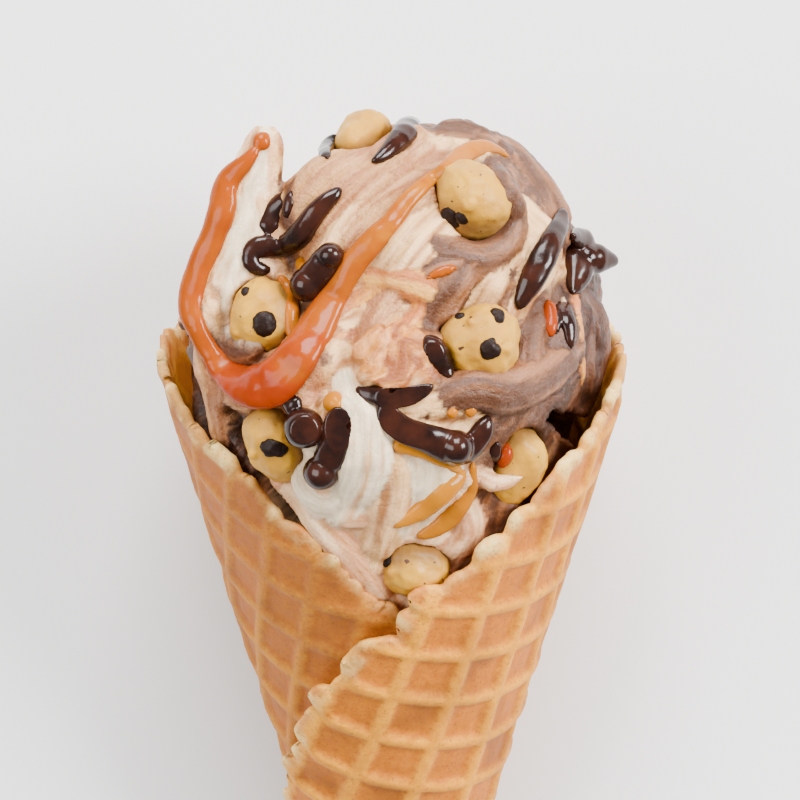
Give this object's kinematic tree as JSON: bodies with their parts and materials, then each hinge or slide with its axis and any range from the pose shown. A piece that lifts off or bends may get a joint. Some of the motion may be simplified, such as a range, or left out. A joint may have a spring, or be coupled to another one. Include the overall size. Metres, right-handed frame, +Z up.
{
  "type": "ice cream cone",
  "caption": "Rolled waffle cone heaped with swirled chocolate and marshmallow ice cream, fudge, caramel and chunks of cookie dough, lying on its back.",
  "frame": {"origin": "centre of the bounding box on the surface that the cone lies on", "axes": "+Y from the cone's tip towards the scoop, +Z up towards the shown front, +X to the viewer's right"},
  "size_m": [0.0879, 0.1951, 0.0811],
  "materials": {
    "waffle": "baked waffle, matte with slightly shiny browned ridges",
    "ice_cream": "soft ice cream, satin and wet where it melts, with glossy fudge and caramel",
    "cookie_dough": "smooth raw cookie dough, faintly sugary, with dark chocolate chips"
  },
  "bodies": {
    "root": {"waffle_cone": "waffle", "ice_cream": "ice_cream", "dough_top": "cookie_dough", "dough_upper_right": "cookie_dough", "dough_left": "cookie_dough", "dough_right": "cookie_dough", "dough_lower_left": "cookie_dough", "dough_lower_right": "cookie_dough", "dough_bottom": "cookie_dough"}
  },
  "joints": []
}
